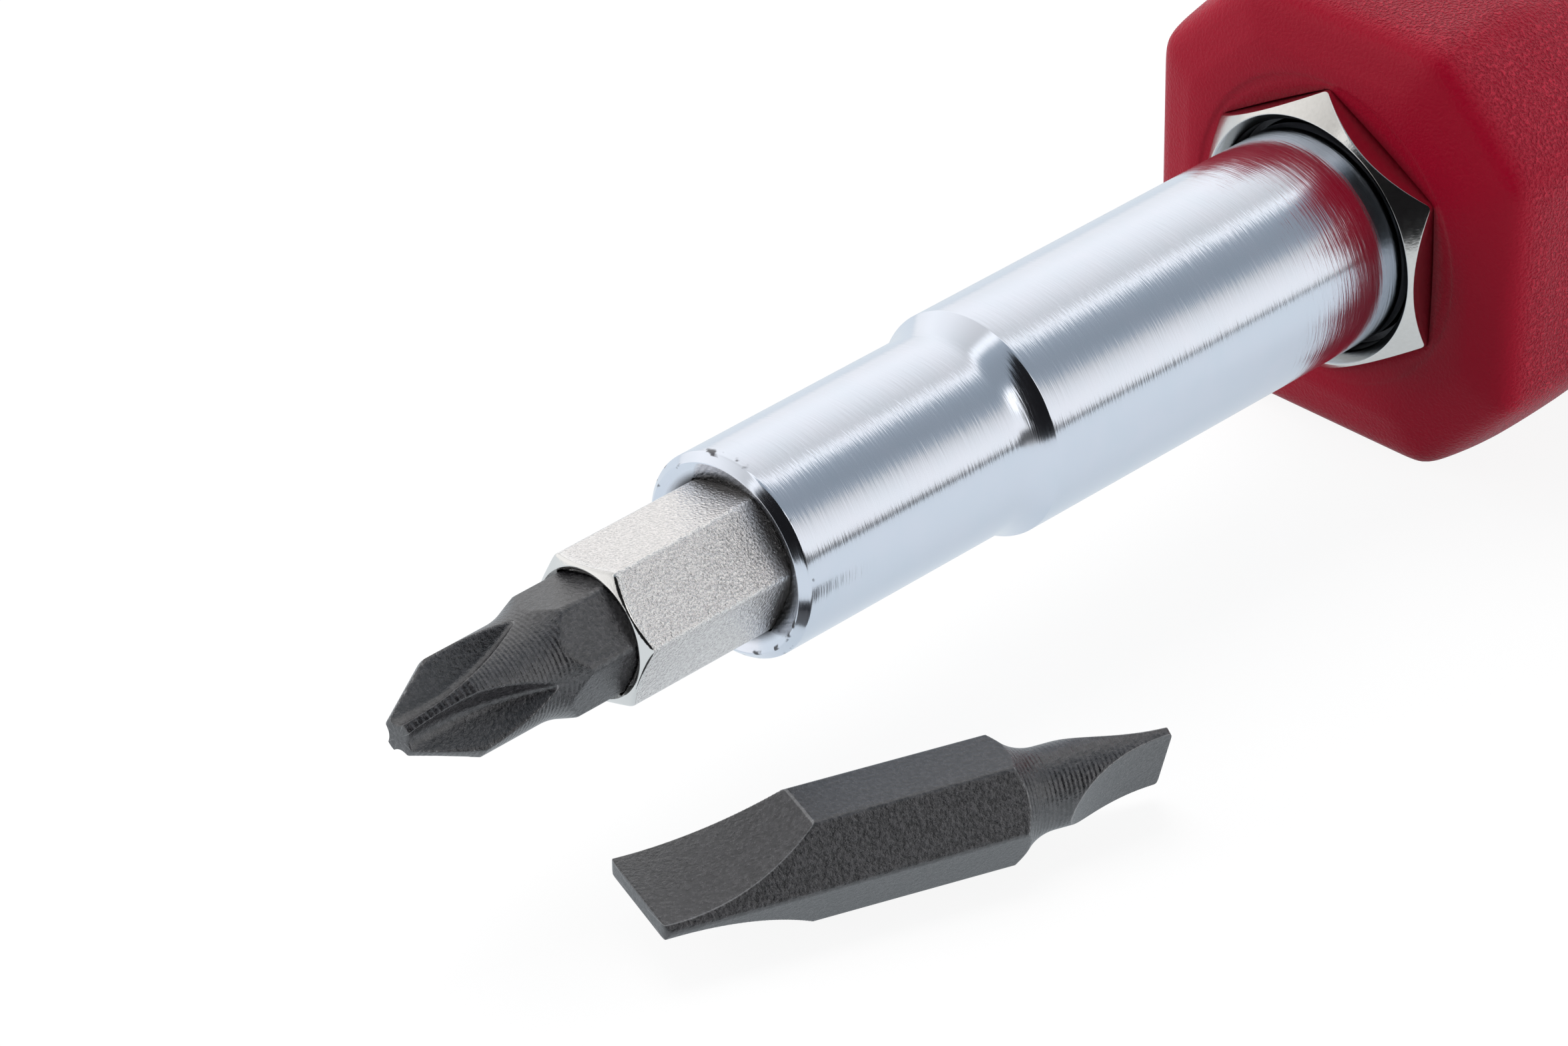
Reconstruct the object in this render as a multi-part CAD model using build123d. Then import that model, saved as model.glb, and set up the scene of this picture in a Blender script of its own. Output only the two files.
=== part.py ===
from build123d import *
from math import cos, radians, sin, sqrt, tan
import os

# Multi-bit screwdriver, in millimetres.
# The tool axis is X: the tip points to -X and the handle to +X, and +Z is up.
# The origin is on the axis, in the plane of the bolster's front face.
# An angle called a turn is measured round the axis from the -Y side towards the top.

# Bits: quarter inch hexagon steel, both ends worked
bit_across_flats = 6.35
bit_corner_trim = 0.07
bit_length = 31.0
bit_stand_out = 13.67
bit_turn = 10.7
cutter_overrun = 2.0

# Cross-point end, large: the end that shows
large_point_tip_radius = 1.05
large_point_body_radius = 2.94
large_point_body_end = 8.1
large_point_hex_start = 10.55
large_point_flute_root = 0.72
large_point_flute_round = 0.9
large_point_wheel_radius = 12.5
large_point_wheel_station = 1.0

# Cross-point end, small: the end inside the sleeve
small_point_tip_radius = 0.62
small_point_body_radius = 2.25
small_point_body_end = 7.2
small_point_hex_start = 10.4
small_point_flute_root = 0.42
small_point_flute_round = 0.5
small_point_wheel_radius = 12.5
small_point_wheel_station = 0.6

point_angle = 26.5
flute_half_angle = 46.0
flute_wheel_depth = 4.5
wing_turn = 52.0
wing_count = 4

# Flat blades of the second bit
large_blade_thickness = 0.95
large_blade_ground_length = 9.4
large_blade_hollow = 0.85
large_blade_corner = 0.35
small_blade_shank_radius = 2.31
small_blade_thickness = 0.5
small_blade_ground_length = 6.55
small_blade_hollow = 0.53
small_blade_corner = 0.3
small_blade_shoulder = 2.6
small_blade_end_length = 9.8
small_blade_turn = 68.4

# Where the second bit lies beside the tool, and which way it points
loose_bit_ahead = 62.23
loose_bit_aside = 8.28
loose_bit_yaw = -20.5

# Ball catches of the bits and of the sleeve
bit_ball_radius = 0.8
sleeve_ball_radius = 1.0
ball_hole_clearance = 0.03
ball_wall_gap = 0.01
ball_throat_gap = 0.2
ball_lip = 0.05
bit_catch_depth = 3.5
sleeve_catch_depth = 3.9
loose_ball_stand_out = 0.2
spring_wire_radius = 0.18
spring_turns = 4
spring_side_gap = 0.1
spring_end_gap = 0.01

# Sleeve: hexagon bit holder, open at both ends round a solid web
bit_socket_clearance = 0.075
bit_socket_end_clearance = 0.27
sleeve_wall = 0.72
sleeve_corner_trim = 0.07
sleeve_web = 3.0
sleeve_stand_out = 10.13
sleeve_face_width = 0.07
sleeve_chamfer_angle = 30.0
sleeve_countersink_lip = 0.05
sleeve_countersink_depth = 0.5
sleeve_turn = 8.5

# Barrel: stepped round shaft with a hexagon socket and a well for the stored bit's point
sleeve_clearance = 0.055
sleeve_end_clearance = 0.2
barrel_front_wall = 2.015
barrel_front_length = 19.15
barrel_step = 0.68
barrel_shoulder_length = 2.3
barrel_rear_length = 28.1
barrel_rim_chamfer = 0.55
barrel_mouth_land = 0.05
barrel_countersink_depth = 0.86
barrel_seat_step = 0.2
barrel_anchor_length = 45.0
barrel_end_chamfer = 1.0
well_clearance = 0.35
well_end_clearance = 1.5
wing_length = 8.0
wing_thickness = 2.2
wing_height = 3.0
wing_setback = 6.0

# Bolster: chamfered hexagon with an anchor groove and flange inside the handle
bolster_wall = 1.2175
bolster_face_inset = 0.19
bolster_lip = 0.05
bolster_chamfer_angle = 47.0
bolster_corner_trim = 0.05
bolster_bore_clearance = 0.43
bolster_countersink_depth = 0.75
bolster_relief_depth = 2.0
bolster_hex_length = 7.5
bolster_groove_length = 1.6
bolster_groove_depth = 0.6
bolster_flange_length = 2.4
bolster_flange_height = 0.5

# Handle: moulded round the bolster and the barrel
handle_margin = 4.655
handle_face_setback = 1.6
handle_length = 100.25
handle_recess_margin = 0.63
handle_recess_depth = 0.25
handle_butt_length = 14.0
handle_butt_flat_radius = 5.0
handle_butt_margin = 1.6
flute_radius = 7.0
flute_depth = 1.1
flute_length = 52.0
flute_centre_share = 0.62
flute_count = 4

# Handle sections: how far along the handle, half width, diagonal and corner rounding,
# each as a share of the handle's length or of its half width at the collar
rim_section_shares = (
    (0.0, 0.753, 0.818, 0.16),
    (0.0075, 0.937, 1.013, 0.18),
    (0.0130, 0.973, 1.056, 0.18),
    (0.0210, 0.991, 1.082, 0.18),
)
grip_section_shares = (
    (0.0210, 0.991, 1.082, 0.18),
    (0.0440, 1.004, 1.111, 0.22),
    (0.0740, 1.004, 1.103, 0.28),
    (0.1140, 0.970, 1.046, 0.40),
    (0.1840, 0.912, 0.948, 0.62),
    (0.2640, 0.894, 0.905, 0.75),
    (0.4040, 0.945, 0.962, 0.65),
    (0.5840, 1.005, 1.030, 0.50),
    (0.7340, 1.005, 1.034, 0.50),
    (0.8640, 0.965, 0.985, 0.55),
    (1.0, 0.860, 0.875, 0.60),
)

# Sizes that follow from the ones above
bit_flat = bit_across_flats / 2
bit_corner_radius = bit_across_flats / sqrt(3) - bit_corner_trim
socket_flat = bit_flat + bit_socket_clearance
socket_corner_radius = socket_flat * 2 / sqrt(3)
sleeve_flat = socket_flat + sleeve_wall
sleeve_corner_radius = sleeve_flat * 2 / sqrt(3) - sleeve_corner_trim
socket_depth = bit_length - bit_stand_out + bit_socket_end_clearance
sleeve_length = 2 * socket_depth + sleeve_web
barrel_hex_flat = sleeve_flat + sleeve_clearance
barrel_front_radius = barrel_hex_flat + barrel_front_wall
barrel_radius = barrel_front_radius + barrel_step
barrel_seat_radius = barrel_radius - barrel_seat_step
barrel_hex_depth = sleeve_length - sleeve_stand_out + sleeve_end_clearance
well_radius = bit_corner_radius + well_clearance
well_depth = bit_stand_out + well_end_clearance
bolster_flat = barrel_radius + bolster_wall
bolster_corner_radius = bolster_flat * 2 / sqrt(3)
handle_half_width = bolster_corner_radius + handle_margin
bolster_length = bolster_hex_length + bolster_groove_length + bolster_flange_length

barrel_mouth_x = -barrel_rear_length - barrel_front_length
sleeve_front_x = barrel_mouth_x - sleeve_stand_out
sleeve_middle_x = sleeve_front_x + sleeve_length / 2
phillips_tip_x = sleeve_front_x - bit_stand_out
bit_middle = (large_point_hex_start + bit_length - small_point_hex_start) / 2
floor_z = -handle_half_width


def radial(turn):
    """Unit vector from the axis outwards at a turn."""
    return Vector(0, -cos(radians(turn)), sin(radians(turn)))


def turned(*edges):
    """Solid turned about the axis from edges that close on it, drawn in the XZ plane."""
    outline = Curve() + [edge for edge in edges]
    return revolve(make_face(outline.edges()), axis=Axis.X)


def chain(*points):
    """Straight edges through (station, radius) points."""
    return Polyline(*[(x, 0, r) for x, r in points])


def rounded(start, end, direction):
    """Arc between two (station, radius) points that leaves the first along X."""
    return TangentArc((start[0], 0, start[1]), (end[0], 0, end[1]), tangent=(direction, 0, 0))


def drum(start, end, radius):
    """Plain cylinder about the axis between two stations."""
    return turned(chain((start, 0), (start, radius), (end, radius), (end, 0), (start, 0)))


def funnel(start, end, start_radius, end_radius):
    """Cone about the axis between two stations."""
    points = ((start, 0), (start, start_radius), (end, end_radius), (end, 0), (start, 0))
    return turned(chain(*points))


def hexagon_bar(flat, turn, start, end):
    """Hexagon bar along the axis with one corner at the turn; flat is half its width."""
    outline = RegularPolygon(radius=flat * 2 / sqrt(3), side_count=6, rotation=-turn)
    return extrude(Plane.YZ.offset(start) * outline, amount=end - start)


def catch_plane(station, turn):
    """Plane on the axis whose normal points out of the flat at the turn."""
    return Plane(origin=(station, 0, 0), x_dir=(1, 0, 0), z_dir=radial(turn))


def bit_catch():
    """Catch of the bit in the sleeve, on its lowest flat."""
    return catch_plane(bit_middle, bit_turn - 90)


def loose_catch():
    """Catch of the loose bit, on the upper flat away from the tool's near side."""
    return catch_plane(bit_middle, 150)


def sleeve_catch():
    """Catch of the sleeve, in its web, on its lowest flat."""
    return catch_plane(sleeve_middle_x, sleeve_turn - 90)


def catch_hole(plane, flat, ball_radius, depth):
    """Blind hole for ball and spring, narrowed at the flat so that the ball stays in."""
    bore = ball_radius + ball_hole_clearance
    throat = ball_radius - ball_throat_gap
    low = (Align.CENTER, Align.CENTER, Align.MIN)
    hole = Pos(0, 0, flat - depth) * Cylinder(bore, depth - ball_lip, align=low)
    mouth = Pos(0, 0, flat - depth) * Cylinder(throat, depth + cutter_overrun, align=low)
    return plane * (hole + mouth)


def catch_ball(plane, ball_radius, ball_top):
    """Steel ball whose outermost point is ball_top from the axis."""
    return plane * (Pos(0, 0, ball_top - ball_radius) * Sphere(ball_radius))


def catch_spring(plane, ball_radius, ball_top, flat, depth):
    """Coil spring that stands on the hole's floor and cups the ball."""
    coil = ball_radius - spring_side_gap - spring_wire_radius
    reach = ball_radius + spring_wire_radius + spring_end_gap
    low = flat - depth + spring_end_gap + spring_wire_radius
    high = ball_top - ball_radius - sqrt(reach**2 - coil**2)
    rise = high - low
    path = Helix(pitch=rise / spring_turns, height=rise, radius=coil)
    wire = Plane(origin=path @ 0, z_dir=path % 0) * Circle(spring_wire_radius)
    return plane * (Pos(0, 0, low) * sweep(wire, path=path))


def flute_wheel(station, root, wheel_radius, edge_round, turn):
    """Grinding wheel with a rounded V edge, its rim nearest the axis at a station."""
    centre = radial(turn) * (root + wheel_radius) + Vector(station, 0, 0)
    angle = radians(flute_half_angle)
    half_width = flute_wheel_depth * tan(angle)
    round_centre = wheel_radius - edge_round
    inner = round_centre + edge_round / sin(angle) - flute_wheel_depth
    rim_run = round_centre + edge_round * sin(angle)
    rim_half = edge_round * cos(angle)
    edge = ThreePointArc((rim_run, 0, -rim_half), (wheel_radius, 0, 0), (rim_run, 0, rim_half))
    rest = Polyline(
        edge @ 1,
        (inner, 0, half_width),
        (0, 0, half_width),
        (0, 0, -half_width),
        (inner, 0, -half_width),
        edge @ 0,
    )
    wheel = revolve(make_face((edge + rest).edges()), axis=Axis.Z)
    across = Vector(1, 0, 0).cross(radial(turn))
    return Plane(origin=centre, x_dir=(1, 0, 0), z_dir=across) * wheel


def phillips_bit():
    """Double-ended cross-point bit, its large point at station 0."""
    slope = tan(radians(point_angle))
    large_cone = (large_point_body_radius - large_point_tip_radius) / slope
    small_cone = (small_point_body_radius - small_point_tip_radius) / slope
    small_body = bit_length - small_point_body_end
    small_hex = bit_length - small_point_hex_start
    blank = turned(
        chain(
            (0, 0),
            (0, large_point_tip_radius),
            (large_cone, large_point_body_radius),
            (large_point_body_end, large_point_body_radius),
        ),
        rounded(
            (large_point_body_end, large_point_body_radius),
            (large_point_hex_start, bit_corner_radius),
            1,
        ),
        chain((large_point_hex_start, bit_corner_radius), (small_hex, bit_corner_radius)),
        rounded((small_body, small_point_body_radius), (small_hex, bit_corner_radius), -1),
        chain(
            (small_body, small_point_body_radius),
            (bit_length - small_cone, small_point_body_radius),
            (bit_length, small_point_tip_radius),
            (bit_length, 0),
            (0, 0),
        ),
    )
    bar = hexagon_bar(bit_flat, bit_turn, -cutter_overrun, bit_length + cutter_overrun)
    bit = blank & bar
    for index in range(wing_count):
        turn = wing_turn + (index + 1 / 2) * 360 / wing_count
        bit -= flute_wheel(
            large_point_wheel_station,
            large_point_flute_root,
            large_point_wheel_radius,
            large_point_flute_round,
            turn,
        )
        bit -= flute_wheel(
            bit_length - small_point_wheel_station,
            small_point_flute_root,
            small_point_wheel_radius,
            small_point_flute_round,
            turn,
        )
    return bit - catch_hole(bit_catch(), bit_flat, bit_ball_radius, bit_catch_depth)


def blade_stock(thickness, ground_length, hollow, surface, corner, half_width, tip, direction):
    """What two hollow-ground faces leave of a blade, from its tip to its root. Beyond the root it
    is wider than the bar, so the bar stays whole."""
    tip_half = thickness / 2
    root = tip + direction * ground_length
    middle = (tip + root) / 2
    far = root + direction * bit_length
    whole = bit_corner_radius + cutter_overrun
    face = ThreePointArc(
        (tip, 0, tip_half), (middle, 0, (tip_half + surface) / 2 - hollow), (root, 0, surface)
    )
    rise = face @ 1 + (face % 1) * cutter_overrun
    rest = Polyline(
        face @ 1,
        rise,
        (rise.X, 0, whole),
        (far, 0, whole),
        (far, 0, 0),
        (tip, 0, 0),
        face @ 0,
    )
    upper = extrude(make_face((face + rest).edges()), amount=whole, both=True)
    stock = upper + mirror(upper, about=Plane.XY)
    plan = Polyline(
        (tip, -half_width + corner, 0),
        (tip, half_width - corner, 0),
        (tip + direction * corner, half_width, 0),
        (root, half_width, 0),
        (root, whole, 0),
        (far, whole, 0),
        (far, -whole, 0),
        (root, -whole, 0),
        (root, -half_width, 0),
        (tip + direction * corner, -half_width, 0),
        close=True,
    )
    return stock & extrude(make_face(plan), amount=whole, both=True)


def slotted_bit():
    """Double-ended flat-blade bit, its large blade at station 0 and flats up and down."""
    shank_end = bit_length - small_blade_end_length + small_blade_shoulder
    hex_end = bit_length - small_blade_end_length
    blank = turned(
        chain((0, 0), (0, bit_corner_radius), (hex_end, bit_corner_radius)),
        rounded((shank_end, small_blade_shank_radius), (hex_end, bit_corner_radius), -1),
        chain(
            (shank_end, small_blade_shank_radius),
            (bit_length, small_blade_shank_radius),
            (bit_length, 0),
            (0, 0),
        ),
    )
    bar = hexagon_bar(bit_flat, 0, -cutter_overrun, bit_length + cutter_overrun)
    large = blade_stock(
        large_blade_thickness,
        large_blade_ground_length,
        large_blade_hollow,
        bit_flat,
        large_blade_corner,
        bit_corner_radius,
        0,
        1,
    )
    small = blade_stock(
        small_blade_thickness,
        small_blade_ground_length,
        small_blade_hollow,
        small_blade_shank_radius,
        small_blade_corner,
        small_blade_shank_radius,
        bit_length,
        -1,
    )
    bit = blank & bar & large & (Rot(-small_blade_turn, 0, 0) * small)
    return bit - catch_hole(loose_catch(), bit_flat, bit_ball_radius, bit_catch_depth)


def sleeve():
    """Hexagon holder with a socket in each end and a solid web between them."""
    end = sleeve_front_x + sleeve_length
    mouth = socket_corner_radius + sleeve_countersink_lip
    face = mouth + sleeve_face_width
    chamfer = (sleeve_corner_radius - face) * tan(radians(sleeve_chamfer_angle))
    envelope = turned(
        chain(
            (sleeve_front_x, 0),
            (sleeve_front_x, face),
            (sleeve_front_x + chamfer, sleeve_corner_radius),
            (end - chamfer, sleeve_corner_radius),
            (end, face),
            (end, 0),
            (sleeve_front_x, 0),
        )
    )
    body = envelope & hexagon_bar(sleeve_flat, sleeve_turn, sleeve_front_x, end)
    web_start = sleeve_middle_x - sleeve_web / 2
    web_end = sleeve_middle_x + sleeve_web / 2
    body -= hexagon_bar(socket_flat, sleeve_turn, sleeve_front_x - cutter_overrun, web_start)
    body -= hexagon_bar(socket_flat, sleeve_turn, web_end, end + cutter_overrun)
    body -= funnel(sleeve_front_x, sleeve_front_x + sleeve_countersink_depth, mouth, socket_flat)
    body -= funnel(end - sleeve_countersink_depth, end, socket_flat, mouth)
    return body - catch_hole(sleeve_catch(), sleeve_flat, sleeve_ball_radius, sleeve_catch_depth)


def barrel_wings():
    """Flat cross piece near the barrel's rear end that keys it into the handle."""
    middle = barrel_anchor_length - wing_setback - wing_length / 2
    span = 2 * (barrel_seat_radius + wing_height)
    return Pos(middle, 0, 0) * Box(wing_length, span, wing_thickness)


def barrel():
    """Stepped shaft, socketed in front, with two wings that key it into the handle."""
    step_x = -barrel_rear_length
    rim_x = barrel_mouth_x + barrel_rim_chamfer
    rim_radius = barrel_front_radius - barrel_rim_chamfer
    shoulder_x = step_x - barrel_shoulder_length
    end = barrel_anchor_length
    shaft = turned(
        chain(
            (barrel_mouth_x, 0),
            (barrel_mouth_x, rim_radius),
            (rim_x, barrel_front_radius),
            (shoulder_x, barrel_front_radius),
        ),
        rounded((shoulder_x, barrel_front_radius), (step_x, barrel_radius), 1),
        chain(
            (step_x, barrel_radius),
            (0, barrel_radius),
            (0, barrel_seat_radius),
            (end - barrel_end_chamfer, barrel_seat_radius),
            (end, barrel_seat_radius - barrel_end_chamfer),
            (end, 0),
            (barrel_mouth_x, 0),
        ),
    )
    shaft += barrel_wings()
    hex_end = barrel_mouth_x + barrel_hex_depth
    mouth = rim_radius - barrel_mouth_land
    sink_end = barrel_mouth_x + barrel_countersink_depth
    start = barrel_mouth_x - cutter_overrun
    shaft -= hexagon_bar(barrel_hex_flat, sleeve_turn, start, hex_end)
    shaft -= funnel(barrel_mouth_x, sink_end, mouth, barrel_hex_flat)
    shaft -= drum(hex_end, hex_end + well_depth, well_radius)
    return shaft


def bolster_outside():
    """Everything inside the bolster's outer surface: hexagon, groove and flange."""
    face_radius = bolster_flat - bolster_face_inset
    trimmed = bolster_corner_radius - bolster_corner_trim
    chamfer = (trimmed - face_radius) * tan(radians(bolster_chamfer_angle))
    envelope = turned(
        chain(
            (0, 0),
            (0, face_radius),
            (chamfer, trimmed),
            (bolster_hex_length, trimmed),
            (bolster_hex_length, 0),
            (0, 0),
        )
    )
    groove_end = bolster_hex_length + bolster_groove_length
    groove = drum(bolster_hex_length, groove_end, bolster_flat - bolster_groove_depth)
    flange = drum(groove_end, bolster_length, bolster_flat + bolster_flange_height)
    return (envelope & hexagon_bar(bolster_flat, 90, 0, bolster_hex_length)) + groove + flange


def bolster():
    """Hexagon with a countersunk bore, relieved in front and tight on the barrel behind."""
    mouth = bolster_flat - bolster_face_inset - bolster_lip
    bore = barrel_radius + bolster_bore_clearance
    body = bolster_outside()
    body -= funnel(0, bolster_countersink_depth, mouth, bore)
    body -= drum(0, bolster_relief_depth, bore)
    body -= drum(0, bolster_length, barrel_seat_radius)
    return body


def handle_section(shares):
    """Square with cut, rounded corners across the handle at one of its stations."""
    along, width, diagonal, rounding = shares
    half = width * handle_half_width
    corner = diagonal * handle_half_width * sqrt(2) - half
    points = [(half, corner), (corner, half), (-corner, half), (-half, corner)]
    points += [(-y, -z) for y, z in points]
    outline = make_face(Polyline(*points, close=True))
    outline = fillet(outline.vertices(), rounding * handle_half_width)
    return Plane.YZ.offset(handle_face_setback + along * handle_length) * outline


def grip_flute(turn):
    """Long shallow finger groove, a slice of a large ring."""
    centre_x = handle_face_setback + flute_centre_share * handle_length
    ring_radius = flute_length**2 / 8 / flute_depth
    bottom = handle_half_width * grip_section_shares[7][2] - flute_depth
    groove = Torus(ring_radius, flute_radius)
    away = bottom + ring_radius + flute_radius
    centre = radial(turn) * away + Vector(centre_x, 0, 0)
    across = Vector(1, 0, 0).cross(radial(turn))
    return Plane(origin=centre, x_dir=(1, 0, 0), z_dir=across) * groove


def handle():
    """Moulded grip: squarish collar, waist, palm swell and domed butt."""
    rim = loft([handle_section(shares) for shares in rim_section_shares], ruled=True)
    grip = loft([handle_section(shares) for shares in grip_section_shares])
    body = rim + grip
    end = handle_face_setback + handle_length
    middle = handle_face_setback + handle_length / 2
    body &= Pos(middle, 0, 0) * Box(
        handle_length + cutter_overrun, 2 * handle_half_width, 2 * handle_half_width
    )
    butt_radius = handle_half_width + handle_butt_margin
    butt_x = end - handle_butt_length
    start = handle_face_setback - cutter_overrun
    envelope = turned(
        chain((start, 0), (start, 2 * butt_radius), (butt_x - cutter_overrun, 2 * butt_radius)),
        chain((butt_x - cutter_overrun, 2 * butt_radius), (butt_x - cutter_overrun, butt_radius)),
        chain((butt_x - cutter_overrun, butt_radius), (butt_x, butt_radius)),
        rounded((butt_x, butt_radius), (end, handle_butt_flat_radius), 1),
        chain((end, handle_butt_flat_radius), (end, 0), (start, 0)),
    )
    body &= envelope
    for index in range(flute_count):
        body -= grip_flute((index + 1 / 2) * 360 / flute_count)
    floor = handle_face_setback + handle_recess_depth
    body -= drum(0, floor, bolster_corner_radius + handle_recess_margin)
    body -= bolster_outside()
    body -= drum(0, barrel_anchor_length, barrel_seat_radius)
    return body - barrel_wings()


os.makedirs("parts", exist_ok=True)


def save(name, shape):
    """Write one piece to its own file."""
    export_step(shape, "parts/" + name + ".step")


save("barrel", barrel())
save("bolster", bolster())
save("handle", handle())
save("sleeve", sleeve())

sleeve_ball_top = barrel_hex_flat - ball_wall_gap
save("sleeve_ball", catch_ball(sleeve_catch(), sleeve_ball_radius, sleeve_ball_top))
save(
    "sleeve_spring",
    catch_spring(
        sleeve_catch(), sleeve_ball_radius, sleeve_ball_top, sleeve_flat, sleeve_catch_depth
    ),
)

in_sleeve = Pos(phillips_tip_x, 0, 0)
held_ball_top = socket_flat - ball_wall_gap
held_spring = catch_spring(
    bit_catch(), bit_ball_radius, held_ball_top, bit_flat, bit_catch_depth
)
save("phillips_bit", in_sleeve * phillips_bit())
save("phillips_ball", in_sleeve * catch_ball(bit_catch(), bit_ball_radius, held_ball_top))
save("phillips_spring", in_sleeve * held_spring)

beside = Pos(-loose_bit_ahead, -loose_bit_aside, floor_z + bit_flat) * Rot(0, 0, loose_bit_yaw)
loose_ball_top = bit_flat + loose_ball_stand_out
loose_spring = catch_spring(
    loose_catch(), bit_ball_radius, loose_ball_top, bit_flat, bit_catch_depth
)
save("slotted_bit", beside * slotted_bit())
save("slotted_ball", beside * catch_ball(loose_catch(), bit_ball_radius, loose_ball_top))
save("slotted_spring", beside * loose_spring)
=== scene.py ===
# %% [markdown]
# # A multi-bit screwdriver and its second bit
# The tool lies on a flat of its moulded handle. Its barrel is a stepped, zinc-plated shaft, and in
# the barrel's hexagon socket sits a plated sleeve that holds a double-ended cross-point bit. A
# second bit, with a flat blade at each end, lies beside it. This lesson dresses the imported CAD
# model: each cell makes one piece or one finish, and says why it is made that way.

import bpy
import numpy as np
from mathutils import Matrix, Vector


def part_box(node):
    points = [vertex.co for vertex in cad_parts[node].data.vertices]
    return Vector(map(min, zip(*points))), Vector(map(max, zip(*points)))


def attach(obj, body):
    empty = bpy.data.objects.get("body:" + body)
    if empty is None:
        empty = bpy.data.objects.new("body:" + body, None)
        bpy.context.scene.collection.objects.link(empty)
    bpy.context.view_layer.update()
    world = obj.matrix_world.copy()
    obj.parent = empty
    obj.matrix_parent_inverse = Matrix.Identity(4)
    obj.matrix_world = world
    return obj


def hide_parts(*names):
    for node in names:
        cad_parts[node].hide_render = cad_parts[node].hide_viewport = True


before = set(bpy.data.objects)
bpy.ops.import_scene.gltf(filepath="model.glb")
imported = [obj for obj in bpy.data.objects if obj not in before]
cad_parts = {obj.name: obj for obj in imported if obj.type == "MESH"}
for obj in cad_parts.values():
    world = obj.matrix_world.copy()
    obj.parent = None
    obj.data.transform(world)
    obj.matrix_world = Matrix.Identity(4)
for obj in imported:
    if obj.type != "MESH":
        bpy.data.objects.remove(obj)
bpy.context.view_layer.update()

# %% [markdown]
# ## Sizes
# The CAD works in millimetres and Blender in metres, so the shapes here are worked out in
# millimetres and scaled once, when a mesh is made. The outer sizes are read from the frame's
# boxes. The tool's axis is X, the tip points to -X, and X is 0 at the bolster's front face. A
# direction round the axis is a turn in degrees: 0 is the near side (-Y) and 90 is straight up.

# %% Read the driving sizes from the frame
MM = 0.001


def box_mm(node):
    """Lowest and highest corner of a CAD node, in millimetres."""
    low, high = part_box(node)
    return np.array(low) / MM, np.array(high) / MM


barrel_low, barrel_high = box_mm("barrel")
bolster_high = box_mm("bolster")[1]
handle_low, handle_high = box_mm("handle")
sleeve_low, sleeve_high = box_mm("sleeve")
phillips_tip = box_mm("phillips_bit")[0][0]
floor_z = handle_low[2]
print("the tool is", round(handle_high[0] - phillips_tip, 2), "mm long")

# %% [markdown]
# ## Surfaces from arrays
# Every piece here is a closed skin round an axis: rows of points are stations along it, and
# columns run round it. Working out the whole grid at once with numpy keeps each shape a formula
# that can be read, where sculpting or boolean cuts would hide it in a long list of steps.


# %% Turn a grid of points into a closed mesh
def skin(name, grid, edge=None, loop=False, first=None, last=None):
    """Mesh from grid[row, column] = (x, y, z) in millimetres. Neighbouring rows and columns are
    joined by quads, and columns close on themselves. With loop the rows do too. Otherwise the
    points first and last close the two ends with fans of triangles."""
    rows, columns = grid.shape[:2]
    points = grid.reshape(-1, 3)
    index = np.arange(rows * columns).reshape(rows, columns)
    below = index if loop else index[:-1]
    above = np.roll(index, -1, axis=0) if loop else index[1:]
    quads = np.stack(
        [below, above, np.roll(above, -1, axis=1), np.roll(below, -1, axis=1)], axis=-1
    )
    faces = quads.reshape(-1, 4).tolist()
    if not loop:
        points = np.vstack([points, first, last])
        start, end = rows * columns, rows * columns + 1
        near, far = index[0], index[-1]
        faces += np.stack([np.full(columns, start), near, np.roll(near, -1)], axis=-1).tolist()
        faces += np.stack([np.full(columns, end), np.roll(far, -1), far], axis=-1).tolist()
    mesh = bpy.data.meshes.new(name)
    mesh.from_pydata((points * MM).tolist(), [], faces)
    mesh.polygons.foreach_set("use_smooth", np.ones(len(faces), bool))
    edge_and_shade_mark = np.zeros(len(points))
    if edge is not None:
        edge_and_shade_mark[: rows * columns] = edge.ravel()
    mesh.attributes.new("edge", "FLOAT", "POINT").data.foreach_set("value", edge_and_shade_mark)
    mesh.update()
    piece = bpy.data.objects.new(name, mesh)
    bpy.context.collection.objects.link(piece)
    print(name, "has", rows, "rows and", columns, "columns")
    return piece


def around(stations, radii, turns):
    """Points at stations along X and radii from the axis: (x, -r cos turn, r sin turn)."""
    turn = np.radians(turns)
    x = np.broadcast_to(stations, radii.shape)
    return np.stack([x, -radii * np.cos(turn), radii * np.sin(turn)], axis=-1)


# %% [markdown]
# ## Corners that are never quite sharp
# A turned or ground edge has a tiny round that catches the light, and it is what makes metal look
# real. A profile is a list of corners, and each corner is replaced by a short curve. The radius
# may differ from column to column, so the same code rounds the edge where a cone meets a hexagon.


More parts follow.
